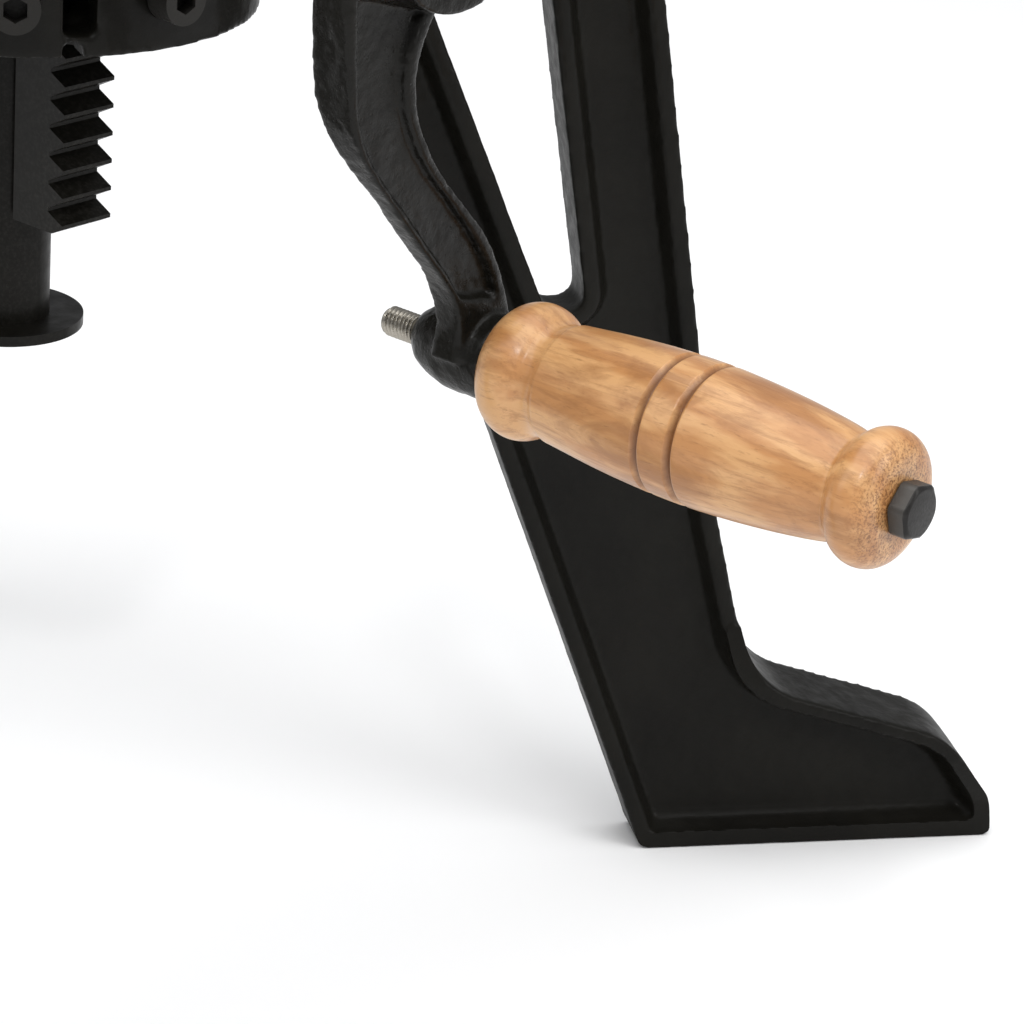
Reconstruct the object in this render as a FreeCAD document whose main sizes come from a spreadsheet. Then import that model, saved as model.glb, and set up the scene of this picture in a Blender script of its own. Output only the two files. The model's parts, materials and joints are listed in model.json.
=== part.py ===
"""Hand-cranked height-adjustable pedestal base for a small table.

Three cast-iron legs carry a round gear housing. A rack welded to the centre post
meshes with a pinion inside the housing; a worm on the crank shaft turns the pinion's
cross shaft, so the crank raises and lowers the post and the spider on top of it.

Frame: millimetres, +Z up, origin on the floor under the post's axis, crank along +X.
"""
import FreeCAD
import Part
import math
import os
import re
from FreeCAD import Placement, Rotation, Vector

# ---------------------------------------------------------------- driving dimensions
DIMENSIONS = {
    # post, rack and the disc that stops the post
    "post_radius": 12.7,
    "post_bore": 10.2,
    "post_bottom": 177.0,
    "post_top": 478.0,
    "disc_radius": 22.3,
    "disc_thick": 3.0,
    "rack_width": 18.4,
    "rack_root": 26.3,
    "rack_bottom": 209.2,
    "rack_top": 442.0,
    "gear_module": 2.5,
    "pinion_teeth": 16,
    "run_gap": 0.05,
    "slide_gap": 0.3,
    # gear housing: a round drum with a nose for the worm
    "drum_radius": 68.0,
    "drum_wall": 8.0,
    "drum_bottom": 270.0,
    "drum_height": 125.0,
    "cover_thick": 8.0,
    "guide_radius": 37.0,
    "guide_flange": 43.0,
    "nose_front": 82.0,
    "nose_wall": 6.0,
    # worm drive
    "crank_offset": -25.0,
    "crank_height": 334.0,
    "worm_module": 2.0,
    "worm_pitch_radius": 8.0,
    "wheel_teeth": 18,
    "wheel_width": 9.0,
    "journal_radius": 3.5,
    "shaft_radius": 6.0,
    "arm_seat_radius": 5.0,
    "cross_shaft_radius": 7.0,
    "shaft_end": 192.0,
    # crank arm and grip
    "arm_front": 170.0,
    "arm_thick": 15.0,
    "hub_radius": 26.0,
    "hub_front": 180.0,
    "boss_radius": 11.3,
    "handle_offset": 8.0,
    "handle_height": 211.4,
    "stud_end": 136.0,
    "boss_back": 148.0,
    "grip_start": 175.6,
    "grip_end": 296.6,
    "bolt_radius": 4.0,
    "sleeve_radius": 5.5,
    "hex_flats": 13.0,
    "hex_height": 5.3,
    # legs
    "leg_width": 18.0,
    "foot_width": 28.0,
    "recess_depth": 7.0,
    "recess_draft": 24.0,
    "rim": 4.7,
    "foot_reach": 316.0,
    "root_flange_width": 50.0,
    "glide_circle": 268.0,
    "glide_hole": 3.4,
    # spider that takes the table top
    "spider_reach": 150.0,
    "spider_hole_circle": 140.0,
    "spider_hole": 3.5,
    "spider_thick": 7.0,
    "spider_arm_width": 30.0,
}
LEG_ANGLES = {"leg_right": 52.0, "leg_rear": 172.0, "leg_left": 292.0}
PRESSURE_ANGLE = math.radians(25)
AXES = {"X": Vector(1, 0, 0), "Y": Vector(0, 1, 0), "Z": Vector(0, 0, 1)}

doc = FreeCAD.newDocument("crank_pedestal")
sheet = doc.addObject("Spreadsheet::Sheet", "Dimensions")
for row, (alias, number) in enumerate(DIMENSIONS.items(), start=1):
    sheet.set(f"A{row}", alias)
    sheet.set(f"B{row}", str(number))
    sheet.setAlias(f"B{row}", alias)
doc.recompute()

nodes = []


# ---------------------------------------------------------------- helpers
def formula(text):
    """An expression over the sheet's cells, from one written with bare names."""
    return re.sub(r"[a-z_]{3,}",
                  lambda m: f"Dimensions.{m.group()}" if m.group() in DIMENSIONS else m.group(),
                  str(text))


def size(text):
    """The number that a formula over the sheet's cells gives now."""
    return float(sheet.evalExpression(formula(text)))


def bind(item, **formulas):
    """Bind properties of an object to formulas; two underscores stand for a dot."""
    for name, text in formulas.items():
        item.setExpression(name.replace("__", "."), formula(text))
    return item


def finish(item, label):
    """Name an object as one of the part's nodes."""
    item.Label = label
    nodes.append(item)
    return item


def rod(name, axis, radius, start, end, at=("0", "0")):
    """A cylinder along X, Y or Z from start to end; at is its place on the other two axes."""
    item = doc.addObject("Part::Cylinder", name)
    item.Placement = Placement(Vector(), Rotation(Vector(0, 0, 1), AXES[axis]))
    along = axis.lower()
    others = [letter for letter in "xyz" if letter != along]
    bind(item, Radius=radius, Height=f"({end}) - ({start})")
    bind(item, **{f"Placement__Base__{along}": start})
    bind(item, **{f"Placement__Base__{other}": text for other, text in zip(others, at)})
    return item


def block(name, low, high):
    """A box between two corners, each a triple of formulas."""
    item = doc.addObject("Part::Box", name)
    for side, letter, start, end in zip(("Length", "Width", "Height"), "xyz", low, high):
        bind(item, **{side: f"({end}) - ({start})", f"Placement__Base__{letter}": start})
    return item


def prism(name, axis, flats, start, end, at=("0", "0")):
    """A hexagonal prism along an axis, from its width across flats."""
    item = doc.addObject("Part::Prism", name)
    item.Polygon = 6
    item.Placement = Placement(Vector(), Rotation(Vector(0, 0, 1), AXES[axis]))
    along = axis.lower()
    others = [letter for letter in "xyz" if letter != along]
    bind(item, Circumradius=f"({flats}) / 2 / cos(30)", Height=f"({end}) - ({start})")
    bind(item, **{f"Placement__Base__{along}": start})
    bind(item, **{f"Placement__Base__{other}": text for other, text in zip(others, at)})
    return item


def joined(name, *items):
    item = doc.addObject("Part::MultiFuse", name)
    item.Shapes = list(items)
    item.Refine = True
    return item


def minus(name, base, *tools):
    item = doc.addObject("Part::Cut", name)
    item.Base = base
    item.Tool = tools[0] if len(tools) == 1 else joined(f"{name}_tools", *tools)
    return item


def group(name, items):
    item = doc.addObject("Part::Compound", name)
    item.Links = list(items)
    return item


def turned_about_z(item, degrees):
    """Turn an object about the post's axis by an angle."""
    turn = Placement(Vector(), Rotation(Vector(0, 0, 1), degrees))
    copy = doc.addObject("Part::Compound", f"{item.Name}_turned")
    copy.Links = [item]
    copy.Placement = turn
    return copy


def rounded(corners):
    """Lines and tangent arcs through (x, y, corner radius) points, closed."""
    points = [Vector(x, y, 0) for x, y, _ in corners]
    starts, ends, arcs = [], [], []
    count = len(corners)
    for i, (x, y, radius) in enumerate(corners):
        here, back, ahead = points[i], points[i - 1] - points[i], points[(i + 1) % count] - points[i]
        back.normalize()
        ahead.normalize()
        turn = math.pi - back.getAngle(ahead)
        if radius <= 0 or turn < 1e-4:
            starts.append(here)
            ends.append(here)
            arcs.append(None)
            continue
        reach = radius * math.tan(turn / 2)
        middle = (back + ahead).normalize() * (radius / math.cos(turn / 2) - radius)
        starts.append(here + back * reach)
        ends.append(here + ahead * reach)
        arcs.append(Part.Arc(starts[-1], here + middle, ends[-1]))
    curves = []
    for i in range(count):
        if arcs[i]:
            curves.append(arcs[i])
        curves.append(Part.LineSegment(ends[i], starts[(i + 1) % count]))
    return curves


def face_of(*outlines):
    """A flat face from an outer outline and its holes."""
    wires = [Part.Wire([curve.toShape() for curve in edges]) for edges in outlines]
    return Part.makeFace(wires, "Part::FaceMakerBullseye")


def new_body(name):
    return doc.addObject("PartDesign::Body", name)


def sketch(body, name, role, curves, offset="0"):
    """A sketch on one of the body's own origin planes, offset along its normal."""
    item = body.newObject("Sketcher::SketchObject", name)
    plane = next(f for f in body.Origin.OriginFeatures if f.Role == role)
    item.AttachmentSupport = [(plane, "")]
    item.MapMode = "FlatFace"
    for curve in curves:
        item.addGeometry(curve, False)
    if offset != "0":
        item.setExpression("AttachmentOffset.Base.z", formula(offset))
    return item


def pad(body, name, profile, length, taper=None, symmetric=False, backward=False):
    item = body.newObject("PartDesign::Pad", name)
    item.Profile = profile
    bind(item, Length=length)
    if taper:
        bind(item, TaperAngle=taper)
    item.SideType = "Symmetric" if symmetric else "One side"
    item.Reversed = backward
    doc.recompute()
    return item


def pocket(body, name, profile, depth, taper=None, through=False, backward=False):
    """A pocket whose cut is proved by the volume it takes away."""
    before = body.Shape.Volume
    item = body.newObject("PartDesign::Pocket", name)
    item.Profile = profile
    item.Reversed = backward
    if through:
        item.Type = "ThroughAll"
        item.SideType = "Symmetric"
    else:
        bind(item, Length=depth)
    if taper:
        bind(item, TaperAngle=taper)
    doc.recompute()
    if body.Shape.Volume >= before:
        raise ValueError(f"{name} cuts nothing")
    return item


def circle(x, y, radius):
    return Part.Circle(Vector(x, y, 0), Vector(0, 0, 1), radius)


def outline(points):
    """Straight edges through points, closed."""
    corners = [Vector(x, y, 0) for x, y in points]
    return [Part.LineSegment(a, b) for a, b in zip(corners, corners[1:] + corners[:1])]


def turned(body, name, profile, role="XZ_Plane", axis_role="Z_Axis"):
    """A full turn of a closed profile about one of the body's axes."""
    item = body.newObject("PartDesign::Revolution", name)
    item.Profile = sketch(body, f"{name}_profile", role, profile)
    item.ReferenceAxis = (next(f for f in body.Origin.OriginFeatures if f.Role == axis_role), [""])
    item.Angle = 360
    doc.recompute()
    return item


# ---------------------------------------------------------------- sizes worked out from the sheet
whole_depth = size("gear_module * 2.25")
pitch = math.pi * size("gear_module")
pinion_pitch_radius = size("gear_module * pinion_teeth / 2")
CROSS_X = "rack_root + 1.25 * gear_module + gear_module * pinion_teeth / 2"
CROSS_Z = "crank_height + worm_pitch_radius + worm_module * wheel_teeth / 2"
CRANK = ("crank_offset", "crank_height")
CROSS = (CROSS_X, CROSS_Z)
HANDLE = ("handle_offset", "handle_height")
HOUSING_TOP = "drum_bottom + drum_height"
COVER_TOP = "drum_bottom + drum_height + cover_thick"


# ---------------------------------------------------------------- legs
def leg_outline():
    """The leg's side view: distance from the post's axis against height, with corner radii."""
    reach = size("foot_reach")
    return rounded([
        (reach - 116, 0, 4), (reach, 0, 2), (reach - 2, 13, 14), (reach - 20, 37, 30), (reach - 86, 57, 30),
        (reach - 103, 116, 150), (170, 340, 0), (165, 368, 30), (92, 386, 60), (60, 390, 0), (60, 342, 0),
    ])


def leg_window():
    """The triangular window between the strut and the outer rail."""
    return rounded([(156, 178, 4), (168, 178, 5), (138.3, 334.5, 14), (92, 352, 10), (92, 322.8, 8)])


def foot_band():
    """The band round the foot that is wider than the leg: sole, toe and instep."""
    reach = size("foot_reach")
    return rounded([
        (reach - 116, 0, 4), (reach, 0, 2), (reach - 2, 13, 14), (reach - 20, 37, 30), (reach - 86, 57, 30),
        (reach - 91, 76, 0), (reach - 95.5, 75, 0), (reach - 90.5, 53.5, 26), (reach - 22.5, 33, 24),
        (reach - 6.5, 12, 9), (reach - 6, 5, 2), (reach - 118, 5, 0),
    ])


def curves_of(wire):
    """A wire's edges as curves that a sketch takes."""
    curves = []
    for edge in wire.OrderedEdges:
        ends = [edge.valueAt(edge.FirstParameter), edge.valueAt(edge.LastParameter)]
        if isinstance(edge.Curve, Part.Line):
            curves.append(Part.LineSegment(*ends))
        else:
            middle = edge.valueAt((edge.FirstParameter + edge.LastParameter) / 2)
            curves.append(Part.Arc(ends[0], middle, ends[1]))
    return curves


def grown(edges, distance):
    """An outline moved outward by a distance."""
    return curves_of(face_of(edges).makeOffset2D(distance).Wires[0])


def make_leg(name, angle):
    """One cast leg: an I-section of web and rim, with a root flange and a wide foot."""
    body = new_body(f"{name}_body")
    pad(body, f"{name}_plate", sketch(body, f"{name}_outline", "XZ_Plane", leg_outline()),
        "leg_width", symmetric=True)
    recess = grown(leg_outline(), -size("rim"))
    window_rim = grown(leg_window(), size("rim + leg_width / 2 * tan(recess_draft)"))
    for face, backward in (("leg_width / 2", False), ("leg_width / -2", True)):
        mouth = sketch(body, f"{name}_recess_outline", "XZ_Plane", recess, face)
        pocket(body, f"{name}_recess", mouth, "recess_depth", taper="-recess_draft", backward=backward)
        rim = sketch(body, f"{name}_window_rim_outline", "XZ_Plane", window_rim)
        pad(body, f"{name}_window_rim", rim, "leg_width / 2", taper="-recess_draft", backward=backward)
    window = sketch(body, f"{name}_window_outline", "XZ_Plane", leg_window())
    pocket(body, f"{name}_window", window, "0", through=True)
    pad(body, f"{name}_foot", sketch(body, f"{name}_foot_band", "XZ_Plane", foot_band()), "foot_width",
        symmetric=True)
    half = size("root_flange_width") / 2
    flange = rounded([(58, -half, 0), (80, -half, 5), (80, half, 5), (58, half, 0)])
    pad(body, f"{name}_root", sketch(body, f"{name}_root_outline", "XY_Plane", flange, "324"), "62")
    pocket(body, f"{name}_seat", sketch(body, f"{name}_drum", "XY_Plane",
                                        [circle(0, 0, size("drum_radius + 0.02"))]),
           "0", through=True)
    glide = sketch(body, f"{name}_glide", "XY_Plane", [circle(size("glide_circle"), 0, size("glide_hole"))])
    pocket(body, f"{name}_glide_hole", glide, "4.5", backward=True)
    body.Placement = Placement(Vector(), Rotation(Vector(0, 0, 1), angle))
    return body


BOLT_PLACES = [(side, height) for side in ("-18", "18") for height in ("340", "372")]


def leg_bolt(name, side, height):
    """A hex bolt through the root flange into the drum, along the leg's direction."""
    shank = rod(f"{name}_shank", "X", "bolt_radius", "drum_radius - drum_wall - 1", "81", (side, height))
    head = prism(f"{name}_head", "X", "hex_flats", "80.05", "80.05 + hex_height", (side, height))
    return joined(name, shank, head)


def bolt_hole(name, side, height):
    return rod(name, "X", "bolt_radius + run_gap", "20", "90", (side, height))


leg_bolts = []
drum_bolt_holes = []
for leg_name, leg_angle in LEG_ANGLES.items():
    holes = group(f"{leg_name}_holes", [bolt_hole(f"{leg_name}_hole_{i}", *place) for i,
                                        place in enumerate(BOLT_PLACES)])
    holes.Placement = Placement(Vector(), Rotation(Vector(0, 0, 1), leg_angle))
    drum_bolt_holes.append(holes)
    bolts = group(f"{leg_name}_bolts", [leg_bolt(f"{leg_name}_bolt_{i}", *place) for i,
                                        place in enumerate(BOLT_PLACES)])
    bolts.Placement = holes.Placement
    leg_bolts.append(bolts)
    finish(minus(f"{leg_name}_drilled", make_leg(leg_name, leg_angle), holes), leg_name)
finish(group("all_leg_bolts", leg_bolts), "leg_bolts")


# ---------------------------------------------------------------- gear housing
def keyway(name, low, high, gap="slide_gap"):
    """The post's and the rack's passage through a guide."""
    bore = rod(f"{name}_bore", "Z", "post_radius + run_gap", low, high)
    slot = block(f"{name}_slot", ("0", f"-rack_width / 2 - {gap}", low),
                 (f"rack_root + 2.25 * gear_module + {gap} + 0.4", f"rack_width / 2 + {gap}", high))
    return joined(name, bore, slot)


CLAMP_ANGLES = (-7.0, -42.0, 112.0)
COVER_ANGLES = [30 + 60 * i for i in range(6)]
FRONT_SCREWS = [(f"crank_offset + 15.5 * cos({a})", f"crank_height + 15.5 * sin({a})") for a in (90, 210,
    330)]
NOSE_LOW = "crank_height - 19"
NOSE_HIGH = CROSS_Z + " + 31"


def make_housing():
    drum = rod("drum", "Z", "drum_radius", "drum_bottom", HOUSING_TOP)
    cavity = rod("drum_cavity", "Z", "drum_radius - drum_wall", "drum_bottom + drum_wall", HOUSING_TOP)
    nose = block("nose", ("30", "crank_offset - 18", NOSE_LOW), ("nose_front", "18", NOSE_HIGH))
    nose_cavity = block("nose_cavity", ("30", "crank_offset - 12", NOSE_LOW + " + nose_wall"),
                        ("nose_front - nose_wall", "18 - nose_wall", NOSE_HIGH + " - nose_wall"))
    shell = minus("housing_shell", joined("housing_outside", drum, nose), cavity, nose_cavity)
    lug = block("rear_lug", ("19", "crank_offset - 31", "crank_height - 12"), ("29", "crank_offset + 10",
        "crank_height + 12"))
    boss = rod("cross_boss", "Y", "13", "12", "26", CROSS)
    inside = rod("inside", "Z", "drum_radius - 2", "drum_bottom", HOUSING_TOP)
    trimmed = doc.addObject("Part::Common", "lug_and_boss")
    trimmed.Base = joined("lug_boss", lug, boss)
    trimmed.Tool = inside
    solid = joined("housing_solid", shell, trimmed)
    tools = [
        rod("guide_hole", "Z", "guide_radius + run_gap", "drum_bottom - 1", "drum_bottom + drum_wall + 1"),
        rod("front_bush_hole", "X", "12 + run_gap", "nose_front - nose_wall - 1", "nose_front + 1", CRANK),
        *[rod(f"front_screw_hole_{i}", "X", "2 + run_gap", "nose_front - 8", "nose_front + 1", place)
          for i, place in enumerate(FRONT_SCREWS)],
        rod("rear_bush_hole", "X", "8 + run_gap", "18", "30", CRANK),
        rod("left_bush_hole", "Y", "10 + run_gap", "crank_offset - 19", "crank_offset - 11", CROSS),
        rod("right_bush_hole", "Y", "10 + run_gap", "11", "27", CROSS),
        *drum_bolt_holes,
        *[turned_about_z(rod(f"clamp_hole_{i}", "X", "bolt_radius + run_gap", "36", "70", ("0",
            "drum_bottom + 15")), a)
          for i, a in enumerate(CLAMP_ANGLES)],
        *[turned_about_z(rod(f"cover_hole_{i}", "Z", "2.5 + run_gap", "380", "396", ("64", "0")), a)
          for i, a in enumerate(COVER_ANGLES)],
        turned_about_z(block("side_slot", ("56", "-4.3", "drum_bottom + 5.8"), ("72", "4.3",
            "drum_bottom + 45")), -27.75),
        turned_about_z(block("rim_notch", ("56", "-2.6", "drum_bottom - 1"), ("72", "2.6",
            "drum_bottom + 4")), -29.1),
    ]
    return minus("housing_machined", solid, *tools)


finish(make_housing(), "gear_housing")


def cap_screw(name, axis, thread, head, start, seat, at=("0", "0")):
    """A socket-head cap screw: its point at start, its head's underside at seat."""
    shank = rod(f"{name}_shank", axis, thread, start, f"({seat}) + 0.1", at)
    cap = rod(f"{name}_cap", axis, head, seat, f"({seat}) + 2 * ({thread})", at)
    hexagon = prism(f"{name}_socket", axis, f"1.5 * ({thread})", f"({seat}) + 0.9 * ({thread})",
                    f"({seat}) + 2.2 * ({thread})", at)
    return minus(name, joined(f"{name}_solid", shank, cap), hexagon)


def make_guide(name, low, high, flange_low, flange_high):
    """A guide ring for the post, with a slot that lets the rack through."""
    ring = joined(f"{name}_solid", rod(f"{name}_body", "Z", "guide_radius", low, high),
                  rod(f"{name}_flange", "Z", "guide_flange", flange_low, flange_high))
    return minus(name, ring, keyway(f"{name}_passage", f"({low}) - 5", f"({high}) + 5"))


lower = make_guide("lower_ring", "drum_bottom + 0.5", "drum_bottom + 26", "drum_bottom + 8.1",
                   "drum_bottom + 22")
clamp_points = [turned_about_z(rod(f"clamp_dimple_{i}", "X", "bolt_radius + run_gap", "39", "50",
                                   ("0", "drum_bottom + 15")), a) for i, a in enumerate(CLAMP_ANGLES)]
finish(minus("lower_ring_drilled", lower, *clamp_points), "lower_post_guide")
finish(group("clamp_screws", [
    turned_about_z(cap_screw(f"clamp_screw_{i}", "X", "bolt_radius", "6.5", "39.5", "drum_radius + 0.3",
                             ("0", "drum_bottom + 15")), a) for i, a in enumerate(CLAMP_ANGLES)]),
                             "guide_clamp_screws")

cover_holes = [turned_about_z(rod(f"cover_bore_{i}", "Z", "2.5 + run_gap", "390", "410", ("64", "0")), a)
               for i, a in enumerate(COVER_ANGLES)]
cover_plate = joined("cover_plate", rod("cover_disc", "Z", "drum_radius", HOUSING_TOP, COVER_TOP),
                     rod("cover_boss", "Z", "46", COVER_TOP, COVER_TOP + " + 3"))
finish(minus("cover_drilled", cover_plate, rod("cover_guide_hole", "Z", "guide_radius + run_gap", "390",
                                               "410"),
             *cover_holes), "housing_cover")
finish(group("cover_screws_all", [turned_about_z(cap_screw(f"cover_screw_{i}", "Z", "2.5", "4.25", "384",
                                                           COVER_TOP,
                                                           ("64", "0")), a) for i,
                                                           a in enumerate(COVER_ANGLES)]),
       "cover_screws")
finish(make_guide("upper_ring", HOUSING_TOP + " - 14", COVER_TOP + " + 6", COVER_TOP + " + 3",
                  COVER_TOP + " + 6"),
       "upper_post_guide")


def bush(name, axis, outer, bore, low, high, flange, flange_low, flange_high, at):
    """A flanged plain bearing."""
    solid = joined(f"{name}_solid", rod(f"{name}_sleeve", axis, outer, low, high, at),
                   rod(f"{name}_flange", axis, flange, flange_low, flange_high, at))
    return minus(name, solid, rod(f"{name}_bore", axis, bore, f"({low}) - 30", f"({high}) + 30", at))


front = bush("front_bush", "X", "12", "shaft_radius + run_gap", "nose_front - nose_wall", "nose_front + 14",
             "19",
             "nose_front", "nose_front + 5", CRANK)
front_holes = [rod(f"front_flange_hole_{i}", "X", "2 + run_gap", "nose_front - 1", "nose_front + 6", place)
               for i, place in enumerate(FRONT_SCREWS)]
finish(minus("front_bush_drilled", front, *front_holes), "crank_front_bush")
finish(group("front_screws", [cap_screw(f"front_screw_{i}", "X", "2", "3.4", "nose_front - 6",
                                        "nose_front + 5.02", place)
                              for i, place in enumerate(FRONT_SCREWS)]), "front_bush_screws")
finish(bush("rear_bush", "X", "8", "journal_radius + run_gap", "19", "31", "10", "29", "31", CRANK),
       "crank_rear_bush")
finish(bush("left_bush", "Y", "10", "cross_shaft_radius + run_gap", "crank_offset - 18",
            "crank_offset - 10", "12",
            "crank_offset - 12", "crank_offset - 10", CROSS), "cross_left_bush")
finish(bush("right_bush", "Y", "10", "cross_shaft_radius + run_gap", "10", "24", "12", "10", "12", CROSS),
       "cross_right_bush")


# ---------------------------------------------------------------- post, rack, stop and spider
finish(minus("tube", rod("tube_outside", "Z", "post_radius", "post_bottom", "post_top"),
             rod("tube_inside", "Z", "post_bore", "post_bottom - 1", "post_top + 1")), "post_tube")
finish(rod("disc", "Z", "disc_radius", "post_bottom - disc_thick", "post_bottom"), "stop_disc")


def tooth_gap():
    """The gap between two rack teeth, seen from the side, centred on height 0."""
    half_root = pitch / 4 - 1.25 * size("gear_module") * math.tan(PRESSURE_ANGLE)
    half_mouth = pitch / 4 + 1.25 * size("gear_module") * math.tan(PRESSURE_ANGLE)
    root = size("rack_root")
    return root, root + whole_depth + 1, half_root, half_mouth + math.tan(PRESSURE_ANGLE)


def make_rack():
    body = new_body("rack_body")
    bottom, top, tip = size("rack_bottom"), size("rack_top"), size("rack_root") + whole_depth
    back = size("post_radius")
    bar = outline([(back, bottom), (tip, bottom), (tip, top), (back, top)])
    pad(body, "rack_bar", sketch(body, "rack_side", "XZ_Plane", bar), "rack_width", symmetric=True)
    root, mouth, half_root, half_mouth = tooth_gap()
    first = bottom - 1.45
    gap = outline([(root, first - half_root), (mouth, first - half_mouth), (mouth, first + half_mouth),
                   (root, first + half_root)])
    cut = pocket(body, "rack_gap", sketch(body, "rack_gap_side", "XZ_Plane", gap), "0", through=True)
    teeth = body.newObject("PartDesign::LinearPattern", "rack_teeth")
    teeth.Originals = [cut]
    teeth.Direction = (next(f for f in body.Origin.OriginFeatures if f.Role == "Z_Axis"), [""])
    count = int((top - first) / pitch) + 1
    teeth.Length = (count - 1) * pitch
    teeth.Occurrences = count
    body.Tip = teeth
    doc.recompute()
    return body, first


rack_body, first_gap = make_rack()
finish(rack_body, "rack")

finish(minus("collar_bored", joined("collar_solid", rod("collar", "Z", "20", "post_top - 22",
                                                        "post_top - 0.02"),
                                    rod("collar_foot", "Z", "32", "post_top - 6", "post_top - 0.02")),
             rod("collar_bore", "Z", "post_radius + run_gap", "post_top - 30", "post_top + 1"),
             *[turned_about_z(rod(f"grub_hole_{i}", "X", "3 + run_gap", "10", "30", ("0", "post_top - 14")),
                              a)
               for i, a in enumerate((60, 180, 300))]), "spider_collar")
finish(group("grubs", [turned_about_z(
    minus(f"grub_{i}", rod(f"grub_body_{i}", "X", "3", "post_radius + 0.1", "21", ("0", "post_top - 14")),
          prism(f"grub_socket_{i}", "X", "3", "18", "22", ("0", "post_top - 14"))), a)
    for i, a in enumerate((60, 180, 300))]), "collar_set_screws")


def make_spider():
    """Four arms with ribs under them, and a hole near the end of each for the table top."""
    body = new_body("spider_body")
    half, reach = size("spider_arm_width") / 2, size("spider_reach")
    centre = 40
    cross = rounded([
        (reach, -half, half - 1), (reach, half, half - 1), (half + 12, half, 0), (half, half + 12, 0),
        (half, reach, half - 1), (-half, reach, half - 1), (-half, half + 12, 0), (-half - 12, half, 0),
        (-reach, half, half - 1), (-reach, -half, half - 1), (-half - 12, -half, 0), (-half, -half - 12, 0),
        (-half, -reach, half - 1), (half, -reach, half - 1), (half, -half - 12, 0), (half + 12, -half, 0),
    ])
    pad(body, "spider_plate", sketch(body, "spider_outline", "XY_Plane", cross, "post_top"), "spider_thick")
    rib = outline([(33, size("post_top") + 1), (33, size("post_top") - 7), (centre, size("post_top") - 7),
                   (reach - 26, size("post_top")), (reach - 26, size("post_top") + 1)])
    for i in range(4):
        ribs = sketch(body, f"spider_rib_{i}", "XZ_Plane" if i % 2 == 0 else "YZ_Plane",
                      rib if i < 2 else [mirrored(curve) for curve in rib])
        pad(body, f"spider_rib_pad_{i}", ribs, "6", symmetric=True)
    for i in range(4):
        x, y = [(1, 0), (0, 1), (-1, 0), (0, -1)][i]
        ring = size("spider_hole_circle")
        hole = sketch(body, f"spider_hole_{i}", "XY_Plane",
                      [circle(x * ring, y * ring, size("spider_hole"))])
        pocket(body, f"spider_bore_{i}", hole, "0", through=True)
    body.Placement = Placement(Vector(), Rotation(Vector(0, 0, 1), 45))
    return body


def mirrored(line):
    return Part.LineSegment(Vector(-line.StartPoint.x, line.StartPoint.y, 0),
                            Vector(-line.EndPoint.x, line.EndPoint.y, 0))


finish(make_spider(), "top_spider")


# ---------------------------------------------------------------- cross shaft, pinion and worm wheel
def gear_outline(module, teeth, backlash, phase):
    """A closed spur-gear outline; phase turns it, and backlash thins each tooth at the pitch line."""
    pitch_radius = module * teeth / 2
    base = pitch_radius * math.cos(PRESSURE_ANGLE)
    tip, root = pitch_radius + module, pitch_radius - 1.25 * module
    roll = lambda radius: math.sqrt(max((radius / base) ** 2 - 1, 0))
    polar = lambda radius: roll(radius) - math.atan(roll(radius))
    half_tooth = math.pi / (2 * teeth) - backlash / (2 * pitch_radius)
    start = max(base, root)
    middle = (start + tip) / 2
    edges = []

    def at(radius, angle):
        return Vector(radius * math.cos(angle), radius * math.sin(angle), 0)

    def flank(radius):
        return half_tooth + polar(pitch_radius) - polar(radius)

    for i in range(teeth):
        centre = phase + 2 * math.pi * i / teeth
        following = centre + 2 * math.pi / teeth
        left = [at(r, centre + flank(r)) for r in (start, middle, tip)]
        right = [at(r, centre - flank(r)) for r in (start, middle, tip)]
        edges.append(Part.LineSegment(at(root, centre - flank(start)), right[0]))
        edges.append(Part.Arc(*right))
        edges.append(Part.Arc(right[2], at(tip, centre), left[2]))
        edges.append(Part.Arc(*reversed(left)))
        edges.append(Part.LineSegment(left[0], at(root, centre + flank(start))))
        edges.append(Part.Arc(at(root, centre + flank(start)), at(root, centre + math.pi / teeth),
                              at(root, following - flank(start))))
    return edges


def make_pinion():
    """The spur pinion, in mesh with the rack at rest: a tooth points at a rack gap."""
    contact = (size(CROSS_Z) - first_gap) % pitch
    phase = math.pi + contact / pinion_pitch_radius
    body = new_body("pinion_body")
    teeth = gear_outline(size("gear_module"), int(size("pinion_teeth")), 0.25, phase)
    pad(body, "pinion_teeth_pad", sketch(body, "pinion_outline", "XZ_Plane", teeth), "rack_width + 1",
        symmetric=True)
    pocket(body, "pinion_bore", sketch(body, "pinion_bore_circle", "XZ_Plane",
                                       [circle(0, 0, size("cross_shaft_radius"))]),
           "0", through=True)
    body.Placement = Placement(Vector(size(CROSS_X), 0, size(CROSS_Z)), Rotation())
    return body


pinion = make_pinion()
finish(pinion, "pinion")
finish(rod("cross", "Y", "cross_shaft_radius", "crank_offset - 17.8", "25", CROSS), "cross_shaft")

CONTACT_LEAN = 1 / (size("worm_pitch_radius") * size("worm_module * wheel_teeth / 2"))


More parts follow.
